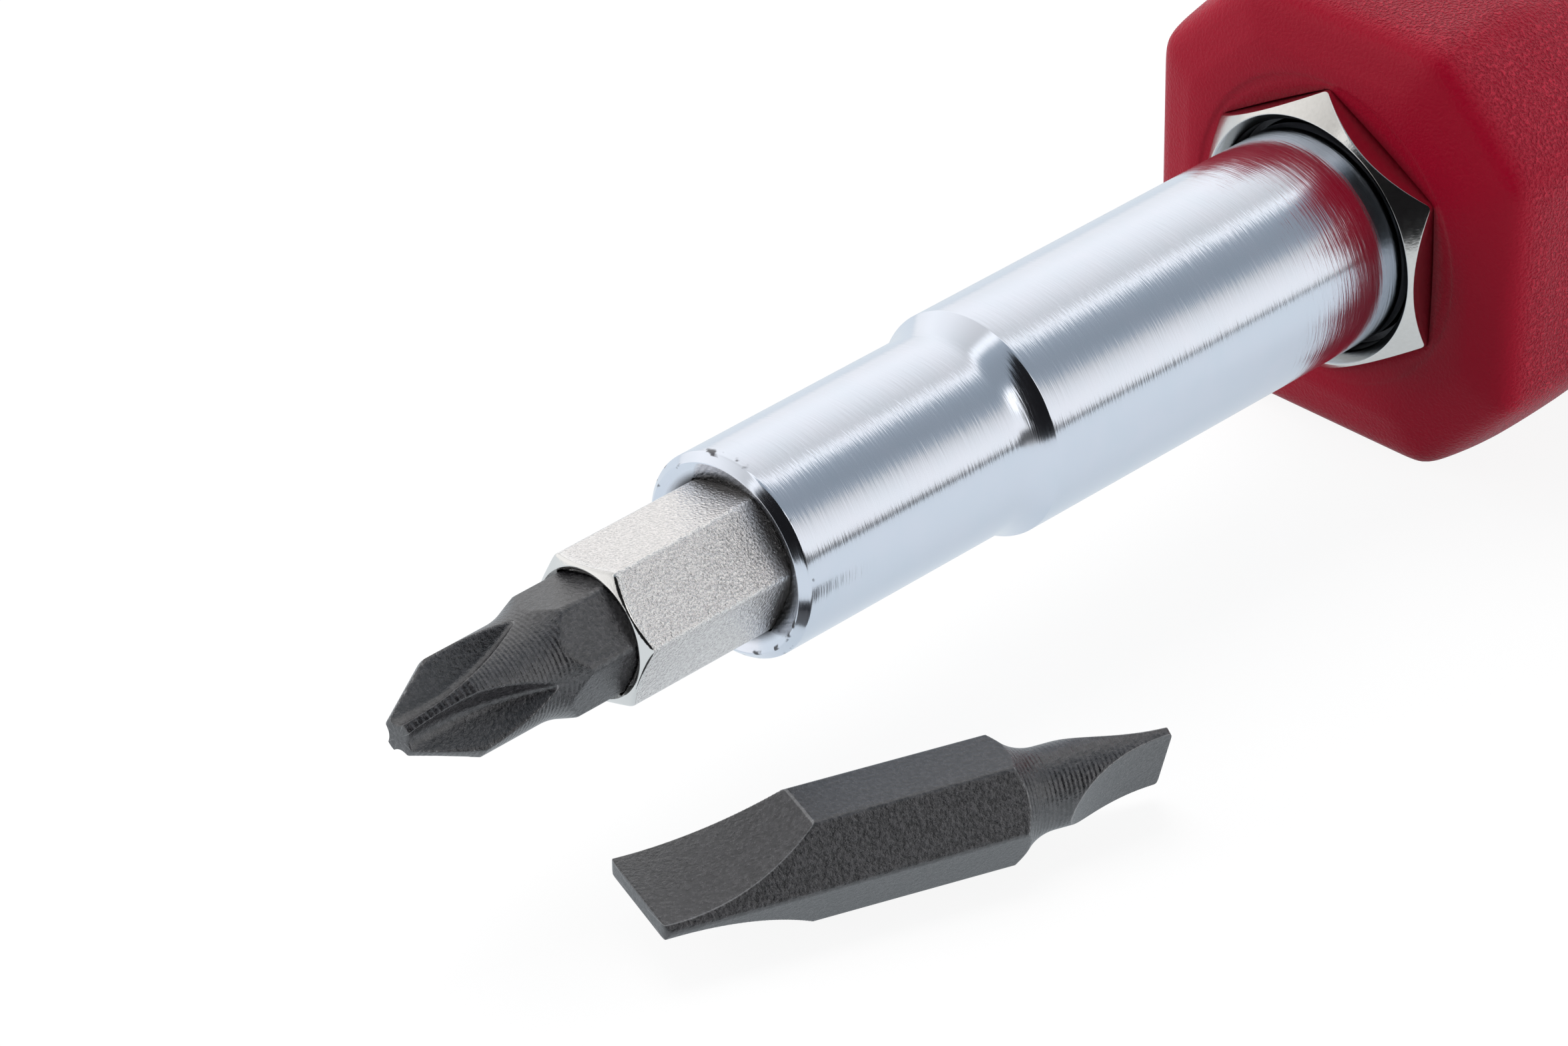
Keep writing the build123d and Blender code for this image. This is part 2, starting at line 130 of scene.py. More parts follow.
# %% Round the corners of a profile and fill its straight parts
def profile(corners, bevels, fills, turns, curve=5):
    """Stations and radii of a profile, each (rows, columns). A corner is (x, r), as numbers or
    arrays over the turns. A bevel swaps its corner C for the curve (1-s)^2 A + 2s(1-s) C + s^2 B,
    where A and B lie a bevel's length from C, or nearer where the straight part is short. fills
    gives each straight part a count of even rows or its own list of shares. Also returned is 1 on
    a rounded corner, falling to 0 away from it."""
    points = np.zeros((len(corners), 2, len(turns)))
    for row, (x, r) in enumerate(corners):
        points[row, 0], points[row, 1] = x, r
    rows, marks = [points[0]], [False]
    s = np.linspace(0, 1, curve)[:, None, None]
    for row in range(1, len(corners)):
        bend = [points[row]]
        if row < len(corners) - 1 and bevels[row] > 0:
            back, ahead = points[row - 1] - points[row], points[row + 1] - points[row]
            back_length = np.maximum(np.hypot(*back), 1e-9)
            ahead_length = np.maximum(np.hypot(*ahead), 1e-9)
            a = points[row] + back * np.minimum(bevels[row] / back_length, 0.45)
            b = points[row] + ahead * np.minimum(bevels[row] / ahead_length, 0.45)
            bend = list((1 - s) ** 2 * a + 2 * s * (1 - s) * points[row] + s**2 * b)
        shares = fills[row - 1]
        if np.isscalar(shares):
            shares = np.linspace(0, 1, shares + 2)[1:-1]
        start = rows[-1]
        rows += [start * (1 - share) + bend[0] * share for share in shares]
        rows += bend
        marks += [False] * len(shares) + [len(bend) > 1] * len(bend)
    made = np.array(rows)
    step = np.diff(made, axis=0, prepend=made[:1])
    length = np.cumsum(np.hypot(step[:, 0], step[:, 1]), axis=0)
    gap = np.abs(length[:, None] - length[np.array(marks)][None]).min(axis=1)
    return made[:, 0], made[:, 1], np.exp(-((gap / 0.1) ** 2))


def flare(s, start, end, low, high):
    """Arc that leaves radius low along the axis at start and reaches radius high at end."""
    length, rise = abs(end - start), high - low
    arc = (length**2 + rise**2) / (2 * rise)
    run = np.clip((s - start) * np.sign(end - start), 0, length)
    return low + arc - np.sqrt(arc**2 - run**2)


def softer_min(a, b, width):
    """The smaller of a and b, blended over width where they are nearly equal."""
    share = np.clip(0.5 + 0.5 * (b - a) / width, 0, 1)
    return b * (1 - share) + a * share - width * share * (1 - share)


def hexagon(turns, corner_turn, flat, trim):
    """Distance from the axis to a hexagon's side, flat / cos(angle from the flat's middle), with
    its corners rounded off by trim."""
    angle = np.radians((turns - corner_turn) % 60 - 30)
    return softer_min(flat / np.cos(angle), flat * 2 / np.sqrt(3) - trim, trim)


def crowded(corner_turn, count):
    """Turns for six sides of count columns each, crowded towards the hexagon's corners."""
    share = np.linspace(-1, 1, count, endpoint=False)
    side = 30 * (0.45 * share + 0.55 * np.sin(share * np.pi / 2))
    return np.concatenate([corner_turn + 30 + 60 * k + side for k in range(6)])


def corner_edge(turns, corner_turn, radius, reach=0.12):
    """1 along a hexagon's corners, falling off over about reach millimetres."""
    angle = np.radians(30 - np.abs((turns - corner_turn) % 60 - 30))
    return np.exp(-((angle * radius / reach) ** 2))


def ball_seat(grid, station, turn, radius, depth):
    """Presses a round, steep-walled hole of a ball catch into a skin. Points within radius of the
    catch's axis move inwards by depth, blended over a tenth of a millimetre at the rim."""
    angle = np.radians(turn)
    out = np.array([0, -np.cos(angle), np.sin(angle)])
    across = np.array([0, np.sin(angle), np.cos(angle)])
    offset = np.hypot(grid[..., 0] - station, grid @ across)
    share = np.clip((radius - offset) / 0.1 + 0.5, 0, 1) * (grid @ out > 2)
    return grid - out * (depth * share * share * (3 - 2 * share))[..., None]


# %% [markdown]
# ## Bolster
# A hexagon that a wrench can turn, nickel plated. Its front is turned to a cone, so each flat ends
# in an arch, and its mouth has a countersink with a gap round the barrel, whose bore is painted
# near black as painted shade. The arch is where cone and hexagon have the same radius, so the
# corner of the profile moves with the turn.

# %% Bolster
flange_height, flange_x = 0.5, 9.1
bolster_flat = bolster_high[1] - flange_height
shaft_radius = barrel_high[2]
bolster_turns = crowded(90, 60)
hex_radius = hexagon(bolster_turns, 90, bolster_flat, 0.06)
face_radius, land_radius = bolster_flat - 0.19, bolster_flat - 0.24
gap, gap_depth, countersink_depth = 0.43, 2.0, 0.75
bore_radius, tight_radius = shaft_radius + gap, shaft_radius - 0.2
cone_slope = 47
arch = (hex_radius - face_radius) * np.tan(np.radians(cone_slope))
wrench_length, neck_radius = 7.5, bolster_flat - 0.6
back = bolster_high[0]
corners = [
    (back, tight_radius),
    (gap_depth, tight_radius),
    (gap_depth, bore_radius),
    (countersink_depth, bore_radius),
    (0, land_radius),
    (0, face_radius),
    (arch, hex_radius),
    (wrench_length, hex_radius),
    (wrench_length, neck_radius),
    (flange_x, neck_radius),
    (flange_x, bolster_flat + flange_height),
    (back, bolster_flat + flange_height),
    (back, tight_radius),
]
bevels = [0, 0, 0.03, 0.06, 0.02, 0.03, 0.07, 0.1, 0, 0, 0.1, 0.1, 0]
x, r, edge_and_shade_mark = profile(corners, bevels, [2, 1, 1, 8, 1, 10, 14, 1, 2, 1, 1, 1], bolster_turns)
edge_and_shade_mark = np.maximum(edge_and_shade_mark, corner_edge(bolster_turns, 90, 9.1) * (x > arch - 0.05))
edge_and_shade_mark = np.where((r < land_radius - 0.02) & (x > 0.02), -0.5, edge_and_shade_mark)
# The bore behind the countersink is marked -1, and the nickel finish paints it near black: painted
# shade in the gap round the barrel.
edge_and_shade_mark = np.where((r < bore_radius + 0.04) & (x > countersink_depth - 0.05), -1, edge_and_shade_mark)
bolster = skin("bolster_hexagon", around(x, r, bolster_turns)[:-1], edge_and_shade_mark[:-1], loop=True)

# %% [markdown]
# ## Barrel
# A round bar turned down in front to a thinner nose, with a hollow shoulder that ends in a crisp
# edge, and a chamfered front rim. Its hexagon socket takes the sleeve, and a round well behind it
# takes the point of a stored bit. One closed profile runs from the well, out through the socket
# and back along the outside, so the wall has a real thickness when the sleeve is drawn out.

# %% Barrel
mouth_x = barrel_low[0]
nose_radius = shaft_radius - 0.68
step_x, fillet_length, press_x = -28.1, 2.3, 1.3
hold_turn = 8.5
barrel_turns = crowded(hold_turn, 60)
socket_flat, socket_depth = 4.025, 28.27
socket = hexagon(barrel_turns, hold_turn, socket_flat, 0.05)
well_depth, well_radius = 43.44, 3.946
socket_end, well_end = mouth_x + socket_depth, mouth_x + well_depth
rim, mouth_land, sink_depth = 0.46, 0.06, 0.86
mouth_radius = nose_radius - rim - mouth_land
sink = mouth_x + sink_depth * (mouth_radius - socket) / (mouth_radius - socket_flat)
fillet_x = np.linspace(step_x - fillet_length, step_x, 14)
fillet = flare(fillet_x, fillet_x[0], step_x, nose_radius, shaft_radius)
rear_x = barrel_high[0]
corners = [
    (well_end, well_radius),
    (socket_end, well_radius),
    (socket_end, socket),
    (sink, socket),
    (mouth_x, mouth_radius),
    (mouth_x, nose_radius - rim),
    (mouth_x + rim, nose_radius),
    *zip(fillet_x, fillet),
    (press_x, shaft_radius),
    (press_x, tight_radius),
    (rear_x - 1, tight_radius),
    (rear_x, tight_radius - 1),
]
bevels = [0, 0.05, 0.05, 0.04, 0.02, 0.02, 0.09] + [0] * 13 + [0.05, 0, 0, 0.1, 0]
fills = [1, 1, 6, 3, 0, 4, 24] + [0] * 13 + [30, 0, 6, 1]
x, r, edge_and_shade_mark = profile(corners, bevels, fills, barrel_turns, curve=7)
# Inside the socket the mark falls below 0, more so deeper in, and the zinc finish paints it near
# black there: painted shade.
socket_shade = (r - mouth_radius) / 1.1
barrel = skin(
    "barrel_shaft",
    around(x, r, barrel_turns),
    np.where(r > mouth_radius - 0.2, edge_and_shade_mark * (x < mouth_x + 2), socket_shade),
    first=(well_end, 0, 0),
    last=(rear_x, 0, 0),
)

# %% Barrel wings
wing_middle, wing_half_length = rear_x - 10, 4.0
wing_half_span, wing_half_thickness = tight_radius + 3, 1.1
wing_turn = -np.linspace(0, 2 * np.pi, 48, endpoint=False)


def squared(value):
    """Signed power that squares off a circle: sign(v) |v|^0.2."""
    return np.sign(value) * np.abs(value) ** 0.2


lift = np.linspace(-np.pi / 2, np.pi / 2, 26)[1:-1, None]
ring = squared(np.cos(lift))
wing_grid = np.stack(
    [
        wing_middle + wing_half_length * ring * squared(np.cos(wing_turn)),
        wing_half_span * ring * squared(np.sin(wing_turn)),
        wing_half_thickness * squared(np.sin(lift)) * np.ones_like(wing_turn),
    ],
    axis=-1,
)
wings = skin(
    "barrel_wings",
    wing_grid,
    first=(wing_middle, 0, -wing_half_thickness),
    last=(wing_middle, 0, wing_half_thickness),
)

# %% [markdown]
# ## Sleeve
# A hexagon tube, closed in the middle by a web, with a socket for a bit in each end. Each mouth is
# chamfered outside and countersunk inside, which leaves a narrow ring between them. The chamfer is
# polished, so one of its sides shows dark. Both ends are the same, because the sleeve can be
# turned round.

# %% Sleeve
sleeve_front, sleeve_rear = sleeve_low[0], sleeve_high[0]
sleeve_middle = (sleeve_front + sleeve_rear) / 2
sleeve_flat, bit_socket_flat, half_web = 3.97, 3.25, 1.5
sleeve_turns = crowded(hold_turn, 48)
outside = hexagon(sleeve_turns, hold_turn, sleeve_flat, 0.07)
inside = hexagon(sleeve_turns, hold_turn, bit_socket_flat, 0.04)
ring_radius, ring_width = bit_socket_flat * 2 / np.sqrt(3) + 0.05, 0.07
chamfer_slope, countersink_depth = 30, 0.5
chamfer = (outside - ring_radius - ring_width) * np.tan(np.radians(chamfer_slope))
countersink = countersink_depth * (ring_radius - inside) / (ring_radius - bit_socket_flat)
corners = [
    (sleeve_middle - half_web, inside),
    (sleeve_front + countersink, inside),
    (sleeve_front, ring_radius),
    (sleeve_front, ring_radius + ring_width),
    (sleeve_front + chamfer, outside),
    (sleeve_rear - chamfer, outside),
    (sleeve_rear, ring_radius + ring_width),
    (sleeve_rear, ring_radius),
    (sleeve_rear - countersink, inside),
    (sleeve_middle + half_web, inside),
]
bevels = [0, 0.05, 0.02, 0.02, 0.16, 0.16, 0.02, 0.02, 0.05, 0]
seat_shares = 0.5 + np.linspace(-1.3, 1.3, 48) / (sleeve_rear - sleeve_front)
body_shares = np.concatenate(
    [np.linspace(0.012, 0.46, 24), seat_shares, np.linspace(0.54, 0.988, 20)]
)
x, r, edge_and_shade_mark = profile(corners, bevels, [4, 2, 0, 3, body_shares, 3, 0, 2, 4], sleeve_turns)
edge_and_shade_mark = np.maximum(edge_and_shade_mark, corner_edge(sleeve_turns, hold_turn, 4.5) * (r > 3.9))
end_gap = np.minimum(x - sleeve_front, sleeve_rear - x) - chamfer
edge_and_shade_mark = np.where(end_gap < 0.13, -1, edge_and_shade_mark)
sleeve_grid = around(x, r, sleeve_turns)
sleeve_grid = ball_seat(sleeve_grid, sleeve_middle, hold_turn - 90, radius=0.8, depth=0.6)
sleeve = skin(
    "bit_sleeve",
    sleeve_grid,
    edge_and_shade_mark,
    first=(sleeve_middle - half_web, 0, 0),
    last=(sleeve_middle + half_web, 0, 0),
)

# %% [markdown]
# ## Cross-point bit
# A quarter inch hexagon bar with a point at each end. A point is a cone, cut by four flutes, and
# each flute is ground by a wheel with a rounded V edge that lies along the bit. Beyond the round,
# in a direction phi from the flute's middle, a wall is at q / (cos phi - lean sin phi). Here q is
# the distance of the V's corner from the axis, and lean is how far the wall runs outwards per step
# sideways. The surface is the smallest of bar, cone and flute.

# %% Cross-point bit
bit_length, bit_flat, bit_corner = 31.0, 3.175, 3.596
seat_station, seat_radius, seat_depth = 15.575, 0.6, 0.5
phillips_turn, ridge_turn = 10.7, 52
point_slope = np.tan(np.radians(26.5))
wheel_radius, half_vee = 12.5, 46


def bit_stations(front, bar_start, bar_end, rear):
    """Stations along a bit as a column: the dense front and rear, the ball's seat, and the plain
    bar between them in long steps. Each end has three rows in one place, for its flat face."""
    before, behind = np.arange(bar_start, 14.6, 0.4), np.arange(16.7, bar_end, 0.4)
    seat = np.arange(14.7, 16.5, 0.07)
    first, last = [0, 0, 0, 0.03, 0.08], [30.92, 30.97, 31, 31, 31]
    return np.concatenate([first, front, before, seat, behind, rear, last])[:, None]


def end_shares(stations):
    """Share of its radius that each row has. The rows of a flat face have less and less of it."""
    shares = np.ones_like(stations)
    shares[:5, 0] = shares[-1:-6:-1, 0] = [0.35, 0.7, 0.93, 0.975, 1]
    return shares


def point(s, tip, body, body_end, hex_start):
    """Radius at s from the tip: cone, body, flare and then the hexagon's corners."""
    return np.minimum(tip + point_slope * s, flare(s, body_end, hex_start, body, bit_corner))


def flute(s, turns, root, rounding, station):
    """Radius of the four flutes at s from the tip, whose wheel is nearest at the station. Within
    the bottom, whose round gets smaller away from the tip, the radius is
    c cos phi - sqrt(round^2 - (c sin phi)^2), and outside it the walls stay the same."""
    phi = np.abs(np.radians((turns - ridge_turn) % 90 - 45))
    run = np.clip(np.abs(s - station), 0, 0.95 * wheel_radius)
    dip = np.sqrt(wheel_radius**2 - run**2)
    lean = wheel_radius / dip / np.tan(np.radians(half_vee))
    half_angle = np.arctan(1 / lean)
    corner = root + wheel_radius - dip + rounding - rounding / np.sin(half_angle)
    rounding = rounding * np.clip(1 - 0.085 * s, 0.3, 1)
    centre = corner + rounding / np.sin(half_angle)
    side = np.cos(phi) - np.sin(phi) * lean
    straight = np.where(side > 0.05, corner / np.maximum(side, 0.05), 99)
    bottom = centre * np.cos(phi)
    bottom = bottom - np.sqrt(np.maximum(rounding**2 - (centre * np.sin(phi)) ** 2, 0))
    meet = np.arctan2(rounding * np.cos(half_angle), centre - rounding * np.sin(half_angle))
    return np.where(phi < meet, bottom, straight)


stations = bit_stations(np.arange(0.16, 10.8, 0.095), 10.9, 20.4, np.arange(20.5, 30.85, 0.11))
bit_turns = np.arange(0, 360, 1.15)
far_end = bit_length - stations
bar = np.minimum(hexagon(bit_turns, phillips_turn, bit_flat, 0.045), bit_corner)
front_point = point(stations, tip=1.05, body=2.94, body_end=8.1, hex_start=10.55)
rear_point = point(far_end, tip=0.62, body=2.25, body_end=7.2, hex_start=10.4)
round_part = np.minimum(front_point, rear_point)
body = softer_min(bar, round_part, 0.05)
front_flutes = flute(stations, bit_turns, root=0.72, rounding=0.9, station=1.0)
rear_flutes = flute(far_end, bit_turns, root=0.42, rounding=0.5, station=0.6)
cuts = np.minimum(front_flutes, rear_flutes)
radii = softer_min(body, cuts, 0.05) * end_shares(stations)
edge_and_shade_mark = np.exp(-(((body - cuts) / 0.06) ** 2))
edge_and_shade_mark = np.maximum(edge_and_shade_mark, 0.5 * np.exp(-(((bar - round_part) / 0.05) ** 2)) * (cuts > body))
corner_wear = 0.35 * corner_edge(bit_turns, phillips_turn, 3.6, 0.1)
edge_and_shade_mark = np.maximum(edge_and_shade_mark, corner_wear * (round_part > bar) * (cuts > body))
edge_and_shade_mark = np.where((round_part < bar) & (cuts > body), 2 * edge_and_shade_mark - 1, edge_and_shade_mark)
phillips_grid = around(stations, radii, bit_turns)
phillips_grid = ball_seat(
    phillips_grid, seat_station, phillips_turn - 90, radius=seat_radius, depth=seat_depth
)
shift = np.array([phillips_tip, 0, 0])
phillips = skin(
    "cross_point_bit",
    phillips_grid + shift,
    edge_and_shade_mark,
    first=shift,
    last=shift + (bit_length, 0, 0),
)

# %% [markdown]
# ## Flat-blade bit
# The second bit is the same bar with a wide blade at one end and a narrow one at the other. A
# blade is made by two hollow-ground faces, each a circular arc along the bit, that cut the bar
# from both sides. So every point of the bar that lies higher than the face is lowered onto it,
# which keeps the bar's own sides as the blade's sides.


# %% Flat-blade bit
def ground_face(s, thickness, length, surface, hollow):
    """Half thickness at s from the tip, on the circle through the tip's half thickness, the
    surface at length, and a point that is hollow below the middle of the line between them."""
    x1, y1 = 0, thickness / 2
    x2, y2 = length / 2, (thickness / 2 + surface) / 2 - hollow
    x3, y3 = length, surface
    d = 2 * (x1 * (y2 - y3) + x2 * (y3 - y1) + x3 * (y1 - y2))
    a, b, c = x1 * x1 + y1 * y1, x2 * x2 + y2 * y2, x3 * x3 + y3 * y3
    cx = (a * (y2 - y3) + b * (y3 - y1) + c * (y1 - y2)) / d
    cy = (a * (x3 - x2) + b * (x1 - x3) + c * (x2 - x1)) / d
    radius = np.hypot(cx - x1, cy - y1)
    inside = np.maximum(radius**2 - (s - cx) ** 2, 0)
    return np.where(s > length + 1.5, 99, cy - np.sqrt(inside))


quarter = 60 * np.linspace(0, 1, 40, endpoint=False) ** 1.5
top = 60 + 60 * np.linspace(0, 1, 40, endpoint=False)
half = np.concatenate([quarter, top, (180 - quarter - 0.001)[::-1]])
blade_turns = np.concatenate([half, half + 180])
stations = bit_stations(np.arange(0.15, 11.2, 0.1), 11.4, 20.6, np.arange(20.8, 30.88, 0.095))
far_end = bit_length - stations
bar = hexagon(blade_turns, 0, bit_flat, 0.05)
shank_radius, neck_start, neck_length = 2.31, 9.8, 2.6
shank = flare(far_end, neck_start - neck_length, neck_start, shank_radius, bit_corner)
shank = shank + np.clip(far_end - neck_start, 0, 0.2)
radii = softer_min(bar, shank, 0.05)
blade_grid = around(stations, radii, blade_turns)
edge_and_shade_mark = np.exp(-(((bar - shank) / 0.05) ** 2))
edge_and_shade_mark = np.maximum(edge_and_shade_mark, 0.35 * corner_edge(blade_turns, 0, 3.6, 0.1) * (shank > bar))
edge_and_shade_mark = np.where(shank < bar, 2 * edge_and_shade_mark - 1, edge_and_shade_mark)


def grind(grid, edge_and_shade_mark, direction, height, width, corner, s):
    """Lowers both sides of a blade onto its ground faces, height from the middle along direction,
    and rounds the corners of its tip. Also marks the new edges as worn."""
    wide = np.cross(direction, (1, 0, 0))
    up, side = grid @ direction, grid @ wide
    level = np.sign(up) * softer_min(np.abs(up), height, 0.04)
    run = np.clip(corner - s, 0, corner)
    limit = np.where(s < corner, width - corner + np.sqrt(corner**2 - run**2), 99)
    reach = np.sign(side) * np.minimum(np.abs(side), limit)
    edge = np.exp(-(((np.abs(up) - height) / 0.08) ** 2))
    moved = grid + direction * (level - up)[..., None] + wide * (reach - side)[..., None]
    kept = np.where(np.abs(up) < height, edge_and_shade_mark, 0)
    return moved, np.where(edge > 0.1, np.maximum(kept, edge), kept)


upward = np.array([0.0, 0.0, 1.0])
wide_face = ground_face(stations, thickness=0.95, length=9.4, surface=bit_flat, hollow=0.85)
blade_grid, edge_and_shade_mark = grind(
    blade_grid, edge_and_shade_mark, upward, wide_face, width=bit_corner, corner=0.35, s=stations
)
narrow_turn = 68.4
lean = np.radians(narrow_turn - 90)
leaning = np.array([0, -np.cos(lean), np.sin(lean)])
narrow_face = ground_face(far_end, thickness=0.5, length=6.55, surface=shank_radius, hollow=0.53)
blade_grid, edge_and_shade_mark = grind(
    blade_grid, edge_and_shade_mark, leaning, narrow_face, width=shank_radius, corner=0.3, s=far_end
)
blade_grid[..., 1:] *= end_shares(stations)[..., None]
blade_grid = ball_seat(blade_grid, seat_station, 150, radius=seat_radius, depth=seat_depth)
yaw = np.radians(-20.5)
bit_place = np.array([-62.23, -8.28, floor_z + bit_flat])
turn_flat = np.array(
    [[np.cos(yaw), np.sin(yaw), 0], [-np.sin(yaw), np.cos(yaw), 0], [0, 0, 1]]
)
slotted = skin(
    "flat_blade_bit",
    blade_grid @ turn_flat + bit_place,
    edge_and_shade_mark,
    first=bit_place,
    last=np.array([bit_length, 0, 0]) @ turn_flat + bit_place,
)

# %% [markdown]
# ## Handle
# The grip is moulded plastic: a squarish collar in front, a waist, a palm swell with four shallow
# grooves and a domed end. A cross-section is the blend of eight flat sides. In any direction its
# radius is (sum of (cos(angle to side) / distance of side)^p) ^ (-1/p), and the power p sets how
# round the corners are, so one formula covers the crisp collar and the almost round waist.


# %% Handle
def along(values):
    """Smooth curve through (station, value) pairs, as cubic pieces whose slopes never overshoot."""
    xs, ys = np.array(values).T
    step = np.diff(xs)
    rate = np.diff(ys) / step
    slope = np.zeros_like(ys)
    both = rate[:-1] * rate[1:] > 0
    total = step[:-1] + step[1:]
    weight_1, weight_2 = total + step[1:], total + step[:-1]
    bottom = np.where(both, weight_1 / np.where(both, rate[:-1], 1), 1)
    bottom = bottom + np.where(both, weight_2 / np.where(both, rate[1:], 1), 1)
    slope[1:-1] = np.where(both, (weight_1 + weight_2) / bottom, 0)
    slope[0], slope[-1] = rate[0], rate[-1]

    def curve(x):
        k = np.clip(np.searchsorted(xs, x) - 1, 0, len(xs) - 2)
        h = step[k]
        t = np.clip((x - xs[k]) / h, 0, 1)
        return (
            (2 * t**3 - 3 * t**2 + 1) * ys[k]
            + (t**3 - 2 * t**2 + t) * h * slope[k]
            + (3 * t**2 - 2 * t**3) * ys[k + 1]
            + (t**3 - t**2) * h * slope[k + 1]
        )

    return curve


face_x, butt_x = handle_low[0], handle_high[0]
grip_length = butt_x - face_x
half_width = handle_high[2]
pocket_end, dome_length = 45, 14
groove_length, groove_depth, groove_cutter = 52, 1.1, 7.0
groove_middle = face_x + 0.62 * grip_length
# A section has its station as a share of the length, and then the distance of its sides, the
# distance of its facets and its rounding, as shares of the half width.
sections = np.array(
    [
        (0.0, 0.753, 0.818, 0.16),
        (0.0075, 0.937, 1.013, 0.18),
        (0.0130, 0.973, 1.056, 0.18),
        (0.0210, 0.991, 1.082, 0.18),
        (0.0440, 1.004, 1.111, 0.22),
        (0.0740, 1.004, 1.103, 0.28),
        (0.1140, 0.970, 1.046, 0.40),
        (0.1840, 0.912, 0.948, 0.62),
        (0.2640, 0.894, 0.905, 0.75),
        (0.4040, 0.945, 0.962, 0.65),
        (0.5840, 1.005, 1.030, 0.50),
        (0.7340, 1.005, 1.034, 0.50),
        (0.8640, 0.965, 0.985, 0.55),
        (1.0, 0.860, 0.875, 0.60),
    ]
)
place = face_x + sections[:, 0] * grip_length
side_at = along(list(zip(place, sections[:, 1] * half_width)))
facet_at = along(list(zip(place, sections[:, 2] * half_width)))
round_at = along(list(zip(place, sections[:, 3] * half_width)))
grip_turns = np.arange(0, 360, 1.25)


def grip_radius(x):
    """Radius of the grip and how near each point is to an edge between two sides."""
    side, facet, rounding = side_at(x), facet_at(x), round_at(x)
    power = np.clip(9.1 * facet / rounding, 8, 70)
    angles = np.radians(grip_turns[None, :, None] - np.arange(0, 360, 45))
    distance = np.where(np.arange(8) % 2 == 0, side[..., None], facet[..., None])
    near = np.maximum(np.cos(angles), 0.001) / distance
    radius = np.sum(near ** power[..., None], axis=-1) ** (-1 / power)
    ranked = np.sort(near, axis=-1)
    return radius, np.clip((ranked[..., -2] / ranked[..., -1] - 0.94) / 0.06, 0, 1)


rim_x = np.array([0, 0.12, 0.3, 0.5, 0.7, 0.9, 1.1, 1.3, 1.5, 1.7, 1.9, 2.1, 2.4, 2.8, 3.2])
grip_x = face_x + np.concatenate([rim_x, np.arange(3.6, grip_length - dome_length, 0.55)])
butt_turn = np.linspace(0, np.pi / 2, 42)
butt_run = np.sin(butt_turn) * dome_length
grip_x = np.concatenate([grip_x, butt_x - dome_length + butt_run])[:, None]
radius, ridge = grip_radius(grip_x)
groove_turn = np.radians(grip_turns % 90 - 45)
groove_arc = groove_length**2 / 8 / groove_depth
bottom = half_width * sections[10, 2] - groove_depth
centre = bottom + groove_cutter + (grip_x - groove_middle) ** 2 / (2 * groove_arc)
offset = centre * np.sin(groove_turn)
groove = centre * np.cos(groove_turn) - np.sqrt(np.maximum(groove_cutter**2 - offset**2, 0))
groove = np.where(np.abs(offset) < groove_cutter, groove, 99)
radius = softer_min(radius, groove, 0.25)
dome_radius, dome_flat = half_width + 1.6, 5.0
dome_drop = dome_radius - dome_flat
dome_arc = (dome_length**2 + dome_drop**2) / (2 * dome_drop)
dome_run = np.clip(grip_x - (butt_x - dome_length), 0, dome_length)
dome = dome_radius - dome_arc + np.sqrt(dome_arc**2 - dome_run**2)
radius = softer_min(radius, dome, 0.6)
for reach in (np.sin(np.radians(grip_turns)), np.cos(np.radians(grip_turns))):
    radius = np.minimum(radius, half_width / np.maximum(np.abs(reach), 0.01))
pocket = hexagon(grip_turns, 90, bolster_flat, 0.06)
# The mouth's rows run from the pocket's end out along the hexagon, over the floor of a shallow
# round recess and up its rounded wall to the front face.
recess_radius, recess_depth = bolster_flat * 2 / np.sqrt(3) + 0.33, 0.14
drop = np.array([1, 0.97, 0.85, 0.65, 0.4, 0.18, 0.05, 0, 0])
pocket_x = [pocket_end, back, back, 2.4, 1.95]
front_x = np.concatenate([pocket_x, face_x + recess_depth * drop])[:, None]
share = np.array([0, 0, 0, 0, 0.02, 0.08, 0.7, 0.9, 1, 1, 1, 1, 1, 1])[:, None]
widening = np.array([0, 0, 0, 0, 0, 0, 0, 0, 0, 0.08, 0.16, 0.25, 0.36, 0.55])[:, None]
front_r = pocket * (1 - share) + recess_radius * share + widening
front_r[:2] = tight_radius
x = np.vstack([front_x, grip_x])
x = np.broadcast_to(x, (len(x), len(grip_turns)))
r = np.vstack([front_r, radius])
rim_edge = np.exp(-(((grip_x - face_x) / 2.0) ** 4))
edge_and_shade_mark = np.vstack([np.ones_like(front_r), np.maximum(0.5 * ridge * (grip_x < 12), rim_edge)])
handle = skin(
    "moulded_handle",
    around(x, r, grip_turns),
    edge_and_shade_mark,
    first=(pocket_end, 0, 0),
    last=(butt_x, 0, 0),
)

# %% [markdown]
# ## Shader maths as Python
# A finish is a network of nodes. Wrapping a socket in a small class lets the network be written as
# an expression, such as 0.3 + 0.1 * grain, and each operator adds the Math node that it needs.


# %% A small language for finishes
class Signal:
    """A value that varies over a surface. Arithmetic on it adds Math nodes."""

    def __init__(self, network, socket):
        self.network, self.socket = network, socket

    def maths(self, operation, *values):
        return self.network.node(
            "ShaderNodeMath", {"operation": operation}, dict(enumerate(values))
        )

    def __add__(self, other):
        return self.maths("ADD", self, other)

    def __sub__(self, other):
        return self.maths("SUBTRACT", self, other)

    def __rsub__(self, other):
        return self.maths("SUBTRACT", other, self)

    def __mul__(self, other):
        return self.maths("MULTIPLY", self, other)

    __radd__, __rmul__ = __add__, __mul__

    def step(self, low, high):
        """0 below low, 1 above high, smooth between."""
        settings = {"interpolation_type": "SMOOTHSTEP"}
        return self.network.node("ShaderNodeMapRange", settings, {0: self, 1: low, 2: high})


